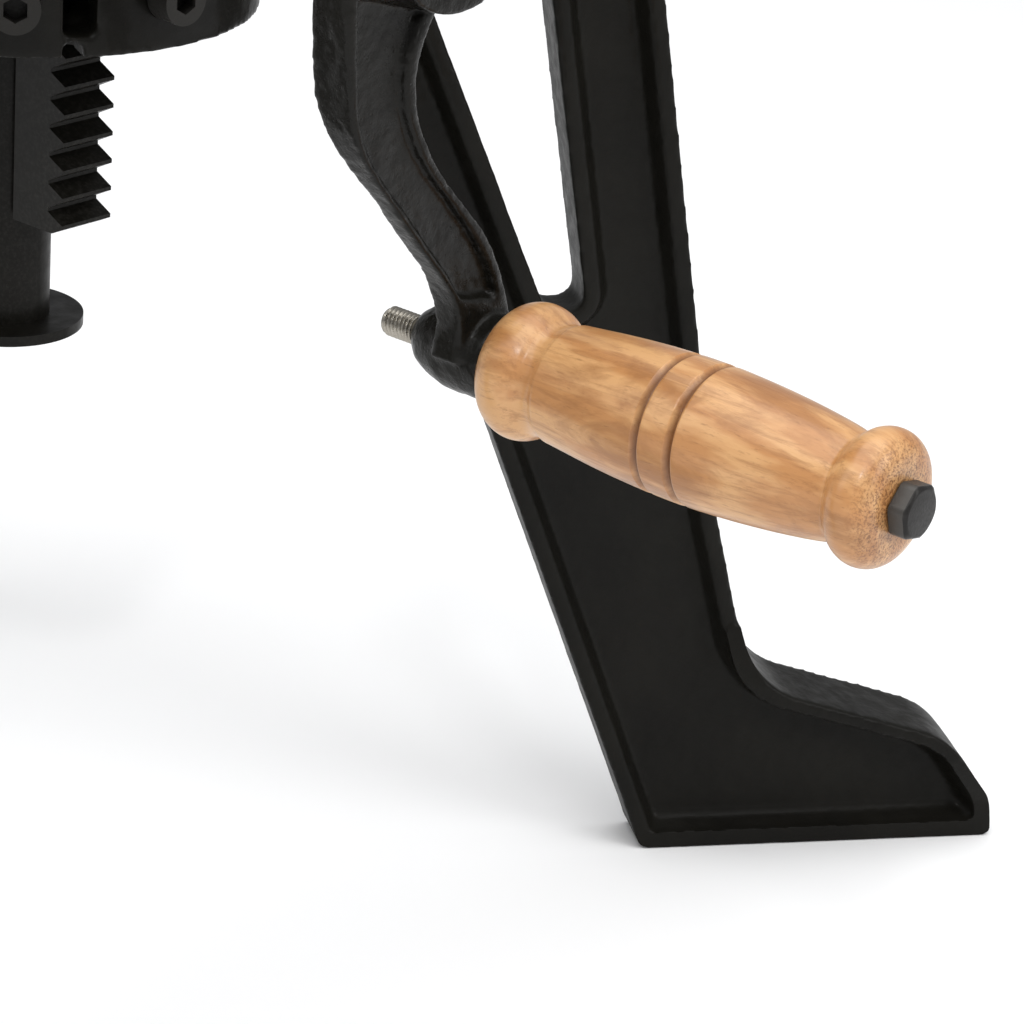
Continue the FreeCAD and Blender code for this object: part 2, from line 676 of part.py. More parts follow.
def make_wheel():
    """The worm wheel: teeth that lean with the worm's thread, and a plain bore."""
    module, teeth, width = size("worm_module"), int(size("wheel_teeth")), size("wheel_width")
    sections = []
    for side in (-0.5, 0.5):
        section = Part.Wire([c.toShape() for c in gear_outline(module, teeth, 0.5,
                                                               -math.pi / 2 - side * width * CONTACT_LEAN)])
        section.Placement = Placement(Vector(size(CROSS_X), size("crank_offset") + side * width,
                                             size(CROSS_Z)),
                                      Rotation(Vector(1, 0, 0), 90))
        sections.append(section)
    rim = Part.makeLoft(sections, True, True)
    hub_start = size("crank_offset") - width / 2 - 4
    hub = Part.makeCylinder(12, width + 8, Vector(size(CROSS_X), hub_start, size(CROSS_Z)), Vector(0, 1, 0))
    bore = Part.makeCylinder(size("cross_shaft_radius"), width + 20, Vector(size(CROSS_X), hub_start - 5,
        size(CROSS_Z)),
                             Vector(0, 1, 0))
    item = doc.addObject("Part::Feature", "wheel_teeth_and_hub")
    item.Shape = rim.fuse(hub).cut(bore)
    return item


finish(make_wheel(), "worm_wheel")


def ring_clip(name, axis, inner, outer, start, end, at):
    return minus(name, rod(f"{name}_outside", axis, outer, start, end, at),
                 rod(f"{name}_inside", axis, inner, f"({start}) - 1", f"({end}) + 1", at))


finish(group("spacers", [
    ring_clip("left_spacer", "Y", "cross_shaft_radius", "10", "crank_offset - 9.9", "crank_offset - 8.6",
              CROSS),
    ring_clip("middle_spacer", "Y", "cross_shaft_radius", "10", "crank_offset + 8.6",
              "-rack_width / 2 - 0.6", CROSS),
]), "cross_shaft_spacers")


# ---------------------------------------------------------------- crank shaft and worm
WORM_LEAD = math.pi * size("worm_module")


def make_worm():
    """A right-hand single-start worm with a short hub, in mesh with the wheel at rest."""
    module, pitch_radius = size("worm_module"), size("worm_pitch_radius")
    root, tip, half = pitch_radius - 1.25 * module, pitch_radius + module, WORM_LEAD / 4 - 0.15
    slope = math.tan(PRESSURE_ANGLE)
    turns = 5
    corners = [(root - 0.4, -half - (pitch_radius - root + 0.4) * slope), (tip, -half + module * slope),
               (tip, half - module * slope), (root - 0.4, half + (pitch_radius - root + 0.4) * slope)]
    points = [Vector(x, 0, z) for x, z in corners]
    profile = Part.makePolygon(points + points[:1])
    helix = Part.makeHelix(WORM_LEAD, WORM_LEAD * turns, pitch_radius)
    thread = Part.Wire(helix.Edges).makePipeShell([profile], True, True)
    length = WORM_LEAD * turns
    core = Part.makeCylinder(root, length + 10.4, Vector(0, 0, -2.4))
    bore = Part.makeCylinder(size("journal_radius"), length + 30, Vector(0, 0, -10))
    shape = core.fuse(thread).cut(bore)
    item = doc.addObject("Part::Feature", "worm_thread")
    item.Shape = shape
    start = size(CROSS_X) - length / 2
    item.Placement = Placement(Vector(start, size("crank_offset"), size("crank_height")),
                               Rotation(Vector(0, 0, 1), Vector(0, -1, 0), Vector(1, 0, 0), "XYZ"))
    return item, start + length + 6


worm, pin_x = make_worm()
worm_pin = rod("worm_pin_rod", "Z", "1", "crank_height - 5.4", "crank_height + 5.4", (str(round(pin_x, 3)),
    "crank_offset"))
worm_pin_hole = rod("worm_pin_hole", "Z", "1", "crank_height - 9", "crank_height + 9",
                    (str(round(pin_x, 3)), "crank_offset"))
finish(minus("worm_drilled", worm, worm_pin_hole), "worm")
finish(worm_pin, "worm_pin")

ARM_BACK = "arm_front - arm_thick"
arm_pin_hole = rod("arm_pin_hole", "Y", "1.75", "crank_offset - 30", "crank_offset + 30", ("arm_front - 13",
    "crank_height"))
shaft = joined("crank_shaft_solid", rod("journal", "X", "journal_radius", "19.5", "76", CRANK),
               rod("shaft_run", "X", "shaft_radius", "75.9", "152", CRANK),
               rod("arm_seat", "X", "arm_seat_radius", "151", "shaft_end", CRANK))
finish(minus("crank_shaft_drilled", shaft, worm_pin_hole, arm_pin_hole), "crank_shaft")
finish(ring_clip("thrust_ring", "X", "shaft_radius", "12", "nose_front + 14.3", "nose_front + 22", CRANK),
       "thrust_collar")


# ---------------------------------------------------------------- crank arm
ARM_LEFT = [(-49, 328), (-52.2, 314), (-50.8, 294), (-47.9, 280.1), (-33.9, 260.6), (-18.5, 243.2), (-7,
    230), (-5, 212)]
ARM_RIGHT = [(-8, 318), (-20.7, 306.2), (-26.6, 288.5), (-22.5, 275), (-8, 257), (5, 243), (14.2, 226),
             (17.5, 212)]
ARM_WAIST = [(157, 345), (157, 288), (163, 262), (163, 240), (161, 232), (161, 195)]


def spline(points):
    curve = Part.BSplineCurve()
    curve.interpolate([Vector(x, y, 0) for x, y in points])
    return curve


def moved_toward(edge, other, rim):
    """Each point of an edge moved toward its partner on the other edge by the rim's width."""
    return [(x + (u - x) * rim / math.dist((x, y), (u, v)), y + (v - y) * rim / math.dist((x, y), (u, v)))
            for (x, y), (u, v) in zip(edge, other)]


def between_edges(left, right):
    """The closed region between two edges that both run downward."""
    return [spline(left), Part.LineSegment(Vector(*left[-1], 0), Vector(*right[-1], 0)),
            spline(right[::-1]),
            Part.LineSegment(Vector(*right[0], 0), Vector(*left[0], 0))]


def make_arm():
    """The cast arm: an S-shaped bar, thinner below and recessed in front, with a round hub."""
    body = new_body("arm_body")
    bar = sketch(body, "arm_outline", "YZ_Plane", between_edges(ARM_LEFT, ARM_RIGHT), ARM_BACK)
    pad(body, "arm_bar", bar, "arm_thick")
    waist = outline([(150, ARM_WAIST[0][1]), *ARM_WAIST, (150, ARM_WAIST[-1][1])])
    pocket(body, "arm_waist", sketch(body, "arm_waist_side", "XZ_Plane", waist), "0", through=True)
    left, right = moved_toward(ARM_LEFT, ARM_RIGHT, 3.0), moved_toward(ARM_RIGHT, ARM_LEFT, 4.5)
    channel = between_edges(left[1:7], right[1:7])
    pocket(body, "front_channel", sketch(body, "front_channel_edge", "YZ_Plane", channel, "arm_front"),
           "2.8")
    disc = [circle(size("crank_offset"), size("crank_height"), size("hub_radius"))]
    pad(body, "hub", sketch(body, "hub_circle", "YZ_Plane", disc, "152"), "hub_front - 152")
    return body


def make_boss():
    """The boss that takes the handle's stud: a rounded cone behind, a plain barrel in front."""
    start, end, radius = size("boss_back"), size("grip_start") - 0.3, size("boss_radius")
    profile = [spline([(start, 5.5), (start + 3, 7.9), (start + 7, 9.8), (start + 13, radius)]),
               Part.LineSegment(Vector(start + 13, radius, 0), Vector(end, radius, 0)),
               Part.LineSegment(Vector(end, radius, 0), Vector(end, 0, 0)),
               Part.LineSegment(Vector(end, 0, 0), Vector(start, 0, 0)),
               Part.LineSegment(Vector(start, 0, 0), Vector(start, 5.5, 0))]
    body = new_body("boss_body")
    turned(body, "boss_turning", profile, "XZ_Plane", "X_Axis")
    body.Placement = Placement(Vector(0, size("handle_offset"), size("handle_height")), Rotation())
    return body


finish(minus("arm_machined", joined("arm_casting", make_arm(), make_boss()), arm_pin_hole,
             rod("hub_bore", "X", "arm_seat_radius", "140", "200", CRANK),
             rod("stud_bore", "X", "bolt_radius", "140", "190", HANDLE)), "crank_arm")
finish(rod("arm_pin_rod", "Y", "1.75", "crank_offset - hub_radius + 0.6", "crank_offset + hub_radius - 0.6",
           ("arm_front - 13", "crank_height")), "arm_pin")
finish(ring_clip("hub_washer", "X", "arm_seat_radius", "10", "hub_front", "hub_front + 2", CRANK),
       "shaft_washer")
finish(minus("hub_nut", prism("hub_nut_solid", "X", "16", "hub_front + 2", "hub_front + 10", CRANK),
             rod("hub_nut_bore", "X", "arm_seat_radius", "hub_front + 1", "hub_front + 11", CRANK)),
             "shaft_nut")


# ---------------------------------------------------------------- handle
finish(joined("bolt_solid", rod("bolt_shank", "X", "bolt_radius", "stud_end", "grip_end + 0.05", HANDLE),
              prism("bolt_head", "X", "hex_flats", "grip_end", "grip_end + hex_height", HANDLE)),
              "handle_bolt")
finish(ring_clip("sleeve", "X", "bolt_radius", "sleeve_radius", "grip_start - 0.3", "grip_end", HANDLE),
       "grip_sleeve")


def make_grip():
    """The turned wooden grip: a bead at each end, a cove beside each bead and a full barrel between."""
    start, end = size("grip_start"), size("grip_end") - 0.3
    length = end - start
    shape = [(0, 11), (0.022, 14.6), (0.068, 17.9), (0.115, 15.6), (0.148, 14.8), (0.19, 15.6), (0.3, 17.3),
             (0.45, 18.1),
             (0.6, 17.5), (0.75, 16.4), (0.85, 14.6), (0.89, 14.2), (0.915, 15.7), (0.945, 17.1), (0.98,
                 15), (1, 11.5)]
    bore = size("sleeve_radius + run_gap")
    edge = spline([(start + t * length, radius) for t, radius in shape])
    profile = [edge, Part.LineSegment(Vector(end, shape[-1][1], 0), Vector(end, bore, 0)),
               Part.LineSegment(Vector(end, bore, 0), Vector(start, bore, 0)),
               Part.LineSegment(Vector(start, bore, 0), Vector(start, shape[0][1], 0))]
    body = new_body("grip_body")
    turned(body, "grip_turning", profile, "XZ_Plane", "X_Axis")
    body.Placement = Placement(Vector(0, size("handle_offset"), size("handle_height")), Rotation())
    return body


finish(make_grip(), "grip")


# ---------------------------------------------------------------- check and write
doc.recompute()
for item in doc.Objects:
    if "Invalid" in item.State or "Error" in item.State:
        raise RuntimeError(f"{item.Name} failed: {item.State}")
os.makedirs("parts", exist_ok=True)
for item in nodes:
    shape = item.Shape
    if shape.isNull() or not shape.isValid():
        raise RuntimeError(f"{item.Label} has no valid shape")
    shape.exportStep(f"parts/{item.Label}.step")
travel = pinion_pitch_radius * 2 * math.pi / size("wheel_teeth")
print(f"{len(nodes)} nodes, travel per crank turn {travel:.3f} mm")
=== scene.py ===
"""Looks for the crank-adjustable pedestal base: cast iron, turned wood, worn steel.

Metres, +Z up, origin on the floor under the centre post, crank shaft along +X.
"""

import bmesh
import bpy
import json
import math
from mathutils import Matrix, Vector


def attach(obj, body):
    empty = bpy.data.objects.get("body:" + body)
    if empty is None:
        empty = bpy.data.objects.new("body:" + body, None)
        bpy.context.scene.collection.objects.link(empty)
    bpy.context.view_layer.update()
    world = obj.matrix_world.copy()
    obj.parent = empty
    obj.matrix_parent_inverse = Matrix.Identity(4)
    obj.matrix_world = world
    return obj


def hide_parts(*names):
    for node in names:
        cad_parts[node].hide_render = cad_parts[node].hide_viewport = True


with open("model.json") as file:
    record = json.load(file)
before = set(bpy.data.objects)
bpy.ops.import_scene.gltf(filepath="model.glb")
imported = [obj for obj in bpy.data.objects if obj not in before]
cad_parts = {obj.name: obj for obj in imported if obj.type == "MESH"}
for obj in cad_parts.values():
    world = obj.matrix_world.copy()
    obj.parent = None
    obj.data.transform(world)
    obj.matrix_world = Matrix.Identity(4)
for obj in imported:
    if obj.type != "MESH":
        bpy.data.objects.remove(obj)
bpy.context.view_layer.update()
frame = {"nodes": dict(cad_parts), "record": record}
MM = 0.001
nodes = frame["nodes"]
slot_of = {entry["node"]: entry["material_slot"] for entry in frame["record"]["subparts"]}


# ---------------------------------------------------------------- materials
def material(name, metallic=0.0, specular=0.5, coat=0.0, coat_roughness=0.1):
    """A new node material, its Principled shader, and a helper that adds and links nodes."""
    made = bpy.data.materials.new(name)
    made.use_nodes = True
    tree = made.node_tree
    shader = tree.nodes["Principled BSDF"]
    shader.inputs["Metallic"].default_value = metallic
    shader.inputs["Specular IOR Level"].default_value = specular
    shader.inputs["Coat Weight"].default_value = coat
    shader.inputs["Coat Roughness"].default_value = coat_roughness
    return made, tree, shader


def node(tree, kind, settings=None, **sockets):
    """Add a node; a socket given as an output is linked, as a number is set."""
    added = tree.nodes.new(kind)
    for key, value in (settings or {}).items():
        setattr(added, key, value)
    for key, value in sockets.items():
        numbered = key[0] == "i" and key[1:].isdigit()
        socket = added.inputs[int(key[1:])] if numbered else added.inputs[key.replace("_", " ")]
        if isinstance(value, bpy.types.NodeSocket):
            tree.links.new(value, socket)
        else:
            socket.default_value = value
    return added


def place(tree, scale=(1, 1, 1), turn=(0, 0, 0)):
    """Object coordinates, scaled and turned."""
    coordinates = tree.nodes.new("ShaderNodeTexCoord")
    mapping = node(tree, "ShaderNodeMapping", Vector=coordinates.outputs["Object"], Scale=scale,
                   Rotation=turn)
    return mapping.outputs[0]


def noise(tree, where, scale, detail=4.0, roughness=0.55, distortion=0.0):
    return node(tree, "ShaderNodeTexNoise", Vector=where, Scale=scale, Detail=detail, Roughness=roughness,
                Distortion=distortion).outputs[0]


def ramp(tree, value, stops):
    """A colour ramp through (position, colour or grey) stops."""
    added = tree.nodes.new("ShaderNodeValToRGB")
    elements = added.color_ramp.elements
    while len(elements) < len(stops):
        elements.new(0.5)
    for element, (position, colour) in zip(elements, stops):
        element.position = position
        element.color = (colour, colour, colour, 1) if isinstance(colour, (int, float)) else (*colour, 1)
    tree.links.new(value, added.inputs[0])
    return added.outputs[0]


def mix(tree, amount, first, second, blend="MIX"):
    added = tree.nodes.new("ShaderNodeMix")
    added.data_type = "RGBA"
    added.blend_type = blend
    for socket, value in ((added.inputs[0], amount), (added.inputs[6], first), (added.inputs[7], second)):
        if isinstance(value, bpy.types.NodeSocket):
            tree.links.new(value, socket)
        elif socket == added.inputs[0]:
            socket.default_value = value
        else:
            socket.default_value = (*value, 1)
    return added.outputs[2]


def bump(tree, height, distance, strength=1.0, below=None):
    """A bump of a height in metres, laid over another bump."""
    added = node(tree, "ShaderNodeBump", Height=height, Distance=distance, Strength=strength)
    if below:
        tree.links.new(below, added.inputs["Normal"])
    return added.outputs[0]


def sharp_edge_mask(tree, low, high):
    """Grey that is bright on sharp outside edges."""
    geometry = tree.nodes.new("ShaderNodeNewGeometry")
    return ramp(tree, geometry.outputs["Pointiness"], [(low, 0.0), (high, 1.0)])


def black_iron(name, gloss, grain, edge_lightening=0.25):
    """Black paint over sand-cast iron; gloss lowers the roughness, grain is the sand texture's height."""
    made, tree, shader = material(name, specular=0.09, coat=0.14 * gloss, coat_roughness=0.14)
    where = place(tree)
    sand, lumps, cloud = noise(tree, where, 900, 5, 0.6), noise(tree, where, 210, 3), noise(tree, where, 26,
        5, 0.6)
    pits = node(tree, "ShaderNodeTexVoronoi", Vector=where, Scale=520.0).outputs[0]
    base = mix(tree, ramp(tree, cloud, [(0.35, 0), (0.7, 1)]), (0.0045, 0.0041, 0.0032), (0.0085, 0.0078,
        0.006))
    # Sharp edges lightened towards grey: rubbed paint wear on the castings, and on the rack a painted
    # highlight along each tooth tip.
    edge_wear_and_sheen = mix(tree, ramp(tree, sand, [(0.45, 0), (0.75, 1)]), (0, 0, 0), sharp_edge_mask(tree, 0.53, 0.62))
    scaled = node(tree, "ShaderNodeMath", {"operation": "MULTIPLY"}, i0=edge_wear_and_sheen, i1=edge_lightening).outputs[0]
    tree.links.new(mix(tree, scaled, base, (0.06, 0.056, 0.05)), shader.inputs["Base Color"])
    low, high = 0.46 - 0.22 * gloss, 0.62 - 0.22 * gloss
    tree.links.new(ramp(tree, lumps, [(0.3, low), (0.7, high)]), shader.inputs["Roughness"])
    first = bump(tree, lumps, 0.00035 * grain)
    second = bump(tree, sand, 0.00012 * grain, below=first)
    third = bump(tree, ramp(tree, pits, [(0.0, 0.0), (0.22, 1.0)]), 0.00008 * grain, below=second)
    tree.links.new(third, shader.inputs["Normal"])
    return made


def steel(name, colour, roughness, metallic=1.0, stain=0.3, edge_lightening=0.0, specular=0.5):
    """Machined steel with fine tool marks and a little tarnish."""
    made, tree, shader = material(name, metallic=metallic, specular=specular)
    marks = noise(tree, place(tree), 1400, 3)
    cloud = noise(tree, place(tree), 90, 5, 0.65)
    dark = tuple(c * (1 - stain) for c in colour)
    tinted = mix(tree, ramp(tree, cloud, [(0.35, 0), (0.65, 1)]), dark, colour)
    if edge_lightening:
        bright = node(tree, "ShaderNodeMath", {"operation": "MULTIPLY"}, i0=sharp_edge_mask(tree, 0.52, 0.58),
                      i1=edge_lightening)
        tinted = mix(tree, bright.outputs[0], tinted, (0.42, 0.40, 0.37))
    tree.links.new(tinted, shader.inputs["Base Color"])
    tree.links.new(ramp(tree, marks, [(0.3, roughness - 0.08), (0.7, roughness + 0.1)]),
                   shader.inputs["Roughness"])
    tree.links.new(bump(tree, marks, 0.00004, below=bump(tree, cloud, 0.0001)), shader.inputs["Normal"])
    return made


GROOVES = ((230.3, 1.2, 1.5), (240.4, 1.3, 1.6))
END_GRAIN = (291.5, 296.2)


def rising(tree, value, start, end):
    """0 below start, 1 above end, for a value in metres and limits in millimetres."""
    return node(tree, "ShaderNodeMapRange", Value=value, From_Min=start * MM, From_Max=end * MM).outputs[0]


def varnished_wood():
    """Light figured hardwood, its grain along X, with painted shade in the grooves and darker at the bolt's
    end.
    """
    made, tree, shader = material("varnished_wood", specular=0.4, coat=0.3, coat_roughness=0.2)
    light, middle, brown, darkest_brown = (0.61, 0.335, 0.142), (0.48, 0.225, 0.08), (0.29, 0.122, 0.04), (0.14,
        0.052, 0.016)
    bands = node(tree, "ShaderNodeTexWave", {"wave_type": "BANDS", "bands_direction": "DIAGONAL"},
                 Vector=place(tree, (0.22, 1, 0.8), (0.5, 0.1, 0.3)), Scale=38.0, Distortion=9.0,
                 Detail=4.0,
                 Detail_Scale=1.8, Detail_Roughness=0.65).outputs[0]
    figure = noise(tree, place(tree, (0.45, 1, 1)), 85, 5, 0.62, 0.9)
    streaks = noise(tree, place(tree, (0.06, 1, 1)), 420, 6, 0.7, 0.5)
    flecks = noise(tree, place(tree, (0.16, 1, 1)), 1100, 3, 0.7)
    speckle = noise(tree, place(tree), 1500, 4, 0.7)
    base = mix(tree, ramp(tree, bands, [(0.1, 0), (0.9, 1)]), light, middle)
    base = mix(tree, ramp(tree, figure, [(0.46, 0), (0.66, 0.7)]), base, brown)
    base = mix(tree, ramp(tree, streaks, [(0.5, 0.0), (0.64, 0.5)]), base, brown)
    base = mix(tree, ramp(tree, flecks, [(0.6, 0.0), (0.72, 0.35)]), base, darkest_brown)
    along = node(tree, "ShaderNodeSeparateXYZ", Vector=place(tree)).outputs[0]
    dots = ramp(tree, speckle, [(0.48, 0.0), (0.6, 0.85)])
    worn_end = node(tree, "ShaderNodeMath", {"operation": "MULTIPLY"}, i0=rising(tree, along, *END_GRAIN),
                    i1=dots)
    base = mix(tree, worn_end.outputs[0], base, darkest_brown)
    # Painted shade: the floor of each V groove is darkened towards the darkest brown, standing in for the
    # shade inside the cut.
    for centre, half_width, _ in GROOVES:
        offset = node(tree, "ShaderNodeMath", {"operation": "SUBTRACT"}, i0=along,
                      i1=centre * MM).outputs[0]
        distance = node(tree, "ShaderNodeMath", {"operation": "ABSOLUTE"}, i0=offset).outputs[0]
        depth = node(tree, "ShaderNodeMapRange", Value=distance, From_Min=0.2 * MM,
                     From_Max=half_width * MM,
                     To_Min=0.8, To_Max=0.0).outputs[0]
        base = mix(tree, depth, base, darkest_brown)
    tree.links.new(base, shader.inputs["Base Color"])
    tree.links.new(ramp(tree, streaks, [(0.2, 0.26), (0.9, 0.46)]), shader.inputs["Roughness"])
    tree.links.new(bump(tree, flecks, 0.00008, below=bump(tree, streaks, 0.00006)), shader.inputs["Normal"])
    return made


def bronze():
    return steel("bearing_bronze", (0.62, 0.43, 0.2), 0.32, stain=0.35)


LEG_IRON = black_iron("leg_iron", 0.35, 0.5)
HOUSING_IRON = black_iron("housing_iron", 0.5, 0.6)
ARM_IRON = black_iron("arm_iron", 1.0, 1.6, 0.3)
POST_BLACK = black_iron("post_black", 0.45, 0.18, 0.15)
# On the rack the lightened sharp edges are mostly painted highlights along the tooth tips, with a little
# wear.
RACK_BLACK = black_iron("rack_black", 0.6, 0.06, 0.3)
STUD_STEEL = steel("stud_steel", (0.36, 0.335, 0.29), 0.3)
HEAD_STEEL = steel("head_steel", (0.016, 0.0145, 0.0135), 0.38, metallic=0.35, edge_lightening=0.12, specular=0.3)
BOLT_STEEL = steel("bolt_steel", (0.007, 0.0064, 0.0055), 0.45, metallic=0.1, edge_lightening=0.04, specular=0.15)
SHAFT_STEEL = steel("shaft_steel", (0.5, 0.49, 0.47), 0.24)
BRONZE = bronze()
WOOD = varnished_wood()
CARRIED_OVER = {
    "lower_post_guide": HOUSING_IRON, "upper_post_guide": HOUSING_IRON, "spider_collar": HOUSING_IRON,
    "post_tube": POST_BLACK, "stop_disc": POST_BLACK, "rack": RACK_BLACK,
    "leg_bolts": BOLT_STEEL, "guide_clamp_screws": BOLT_STEEL, "cover_screws": BOLT_STEEL,
    "front_bush_screws": BOLT_STEEL, "collar_set_screws": BOLT_STEEL, "shaft_nut": BOLT_STEEL,
    "crank_shaft": SHAFT_STEEL, "worm": SHAFT_STEEL, "worm_pin": SHAFT_STEEL,
    "thrust_collar": BOLT_STEEL, "arm_pin": SHAFT_STEEL, "shaft_washer": SHAFT_STEEL,
    "cross_shaft": SHAFT_STEEL,
    "pinion": SHAFT_STEEL, "cross_shaft_spacers": SHAFT_STEEL, "crank_front_bush": BRONZE,
    "crank_rear_bush": BRONZE, "cross_left_bush": BRONZE, "cross_right_bush": BRONZE, "worm_wheel": BRONZE,
    "grip_sleeve": BRONZE,
}


# ---------------------------------------------------------------- pieces
def dress(piece, body, finish, slot, *replaced):
    """Give a new piece its material and its body, and hide the CAD nodes that it stands for; slot is not
    used.
    """
    piece.data.materials.clear()
    piece.data.materials.append(finish)
    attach(piece, body)
    if replaced:
        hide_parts(*replaced)
    return piece


def new_object(name, mesh):
    made = bpy.data.objects.new(name, mesh)
    bpy.context.scene.collection.objects.link(made)
    return made


def applied(piece):
    """The piece with its modifiers made part of its mesh."""
    view = bpy.context.evaluated_depsgraph_get()
    mesh = bpy.data.meshes.new_from_object(piece.evaluated_get(view))
    name = piece.name
    bpy.data.objects.remove(piece)
    return new_object(name, mesh)


def smooth(piece, angle=None):
    piece.data.shade_smooth()
    if angle:
        piece.data.set_sharp_from_angle(angle=math.radians(angle))
    return piece


def lumps(piece, scale, height):
    """Move the surface in and out a little, the way sand leaves it."""
    texture = bpy.data.textures.new(f"{piece.name}_lumps", "CLOUDS")
    texture.noise_scale = scale
    texture.noise_depth = 2
    displace = piece.modifiers.new("lumps", "DISPLACE")
    displace.texture = texture
    displace.strength = height
    displace.mid_level = 0.5


def cast_copy(name, source, voxel, rounds, coarse, fine):
    """A cast version of a CAD node: same shape, with edges rounded and a slightly uneven skin."""
    piece = new_object(name, nodes[source].data.copy())
    remesh = piece.modifiers.new("remesh", "REMESH")
    remesh.mode = "VOXEL"
    remesh.voxel_size = voxel
    soften = piece.modifiers.new("soften", "SMOOTH")
    soften.factor = 0.5
    soften.iterations = rounds
    lumps(piece, 0.009, coarse)
    lumps(piece, 0.0024, fine)
    piece = smooth(applied(piece))
    return piece


VOXEL = 1.15 * MM
LEG_ANGLES = {"leg_right": 52.0, "leg_rear": 172.0, "leg_left": 292.0}
FOOT_WIDTHS = ((0, 9.2), (12, 9.2), (30, 14.2), (56, 14.2), (78, 9.2), (140, 9.2))


def half_width_at(height):
    """Half the foot's width at a height, both in millimetres."""
    for (low, first), (high, second) in zip(FOOT_WIDTHS, FOOT_WIDTHS[1:]):
        if height <= high:
            return first + (second - first) * max(0.0, height - low) / (high - low)
    return math.inf


def taper_foot(piece, degrees):
    """Narrow the foot towards the shin and the sole, as the casting does."""
    across = Vector((-math.sin(math.radians(degrees)), math.cos(math.radians(degrees)), 0))
    for vertex in piece.data.vertices:
        side = vertex.co.dot(across)
        limit = half_width_at(vertex.co.z / MM) * MM
        if abs(side) > limit:
            vertex.co -= across * (side - math.copysign(limit, side))
    return piece


for leg, degrees in LEG_ANGLES.items():
    casting = taper_foot(cast_copy(f"{leg}_casting", leg, VOXEL, 3, 0.25 * MM, 0.1 * MM), degrees)
    dress(casting, "frame", LEG_IRON, slot_of[leg], leg)
dress(cast_copy("gear_housing_casting", "gear_housing", VOXEL, 2, 0.3 * MM, 0.12 * MM), "frame",
      HOUSING_IRON,
      slot_of["gear_housing"], "gear_housing")
dress(cast_copy("housing_cover_casting", "housing_cover", VOXEL, 2, 0.2 * MM, 0.1 * MM), "frame",
      HOUSING_IRON,
      slot_of["housing_cover"], "housing_cover")
dress(cast_copy("top_spider_casting", "top_spider", VOXEL, 3, 0.4 * MM, 0.15 * MM), "post", HOUSING_IRON,
      slot_of["top_spider"], "top_spider")
dress(cast_copy("crank_arm_casting", "crank_arm", 0.7 * MM, 16, 0.6 * MM, 0.35 * MM), "crank", ARM_IRON,
      slot_of["crank_arm"], "crank_arm")


def grid_of_revolution(name, rows, turns, radius_at, axis_point, closed_ends):
    """A mesh turned about a line along X; radius_at gives (x, radius) for a row and an angle."""
    mesh = bpy.data.meshes.new(name)
    work = bmesh.new()
    rings = []
    for row in range(rows):
        ring = []
        for step in range(turns):
            angle = 2 * math.pi * step / turns
            x, radius = radius_at(row, angle)
            ring.append(work.verts.new((x * MM, (axis_point[0] + radius * math.cos(angle)) * MM,
                                        (axis_point[1] + radius * math.sin(angle)) * MM)))
        rings.append(ring)
    for low, high in zip(rings, rings[1:]):
        for step in range(turns):
            ahead = (step + 1) % turns
            work.faces.new((low[step], low[ahead], high[ahead], high[step]))
    if closed_ends == "caps":
        work.faces.new(list(reversed(rings[0])))
        work.faces.new(rings[-1])
    elif closed_ends == "joined":
        for step in range(turns):
            ahead = (step + 1) % turns
            work.faces.new((rings[-1][step], rings[-1][ahead], rings[0][ahead], rings[0][step]))
    bmesh.ops.recalc_face_normals(work, faces=work.faces)
    work.to_mesh(mesh)
    work.free()
    return new_object(name, mesh)


HANDLE_AXIS = (8.0, 211.4)
GRIP_PROFILE = [
    (175.7, 5.6), (175.7, 8.5), (175.8, 10.6), (176.6, 13.2), (178.4, 15.6), (180.8, 17.2), (183.8, 17.9),
    (186.8, 17.5), (189.4, 16.3), (191.2, 15.1), (193.0, 14.6), (194.8, 14.9), (196.2, 15.5), (198.0, 15.7),
    (203.0, 16.2), (210.0, 16.9), (218.0, 17.5), (226.0, 17.9), (234.0, 18.1), (242.0, 18.0), (250.0, 17.6),
    (258.0, 17.0), (266.0, 16.2), (273.0, 15.3), (278.0, 14.5), (280.6, 13.9), (282.0, 13.6), (283.0, 14.0),
    (284.0, 15.0), (285.8, 16.4), (288.0, 17.2), (290.2, 17.3), (292.4, 16.7), (294.4, 15.2), (295.6, 13.0),
    (296.1, 10.6), (296.2, 8.0), (296.2, 5.6),
]


def catmull(points, steps):
    """A smooth line through points."""
    smoothed = []
    for i in range(len(points) - 1):
        a, b, c, d = (Vector(points[max(0, min(len(points) - 1, i + k))]) for k in (-1, 0, 1, 2))
        for step in range(steps):
            t = step / steps
            smoothed.append(0.5 * (2 * b + (c - a) * t + (2 * a - 5 * b + 4 * c - d) * t * t
                                   + (3 * b - a - 3 * c + d) * t ** 3))
    smoothed.append(Vector(points[-1]))
    return smoothed


def make_grip():
    """The turned grip: a bead at each end, a cove beside each, and two V grooves round the barrel."""
    outside = catmull(GRIP_PROFILE, 24)
    inside = [(296.2 - 120.5 * i / 6, 5.6) for i in range(1, 6)]
    line = [(p[0], p[1]) for p in outside] + inside

    def radius_at(row, angle):
        x, radius = line[row]
        if radius > 12:
            for place_x, half_width, depth in GROOVES:
                radius -= depth * max(0.0, 1 - abs(x - place_x) / half_width) ** 0.8
        return x, radius

    return smooth(grid_of_revolution("turned_grip", len(line), 144, radius_at, HANDLE_AXIS, "joined"), 50)


dress(make_grip(), "grip", WOOD, slot_of["grip"], "grip")

THREAD_PITCH = 1.25


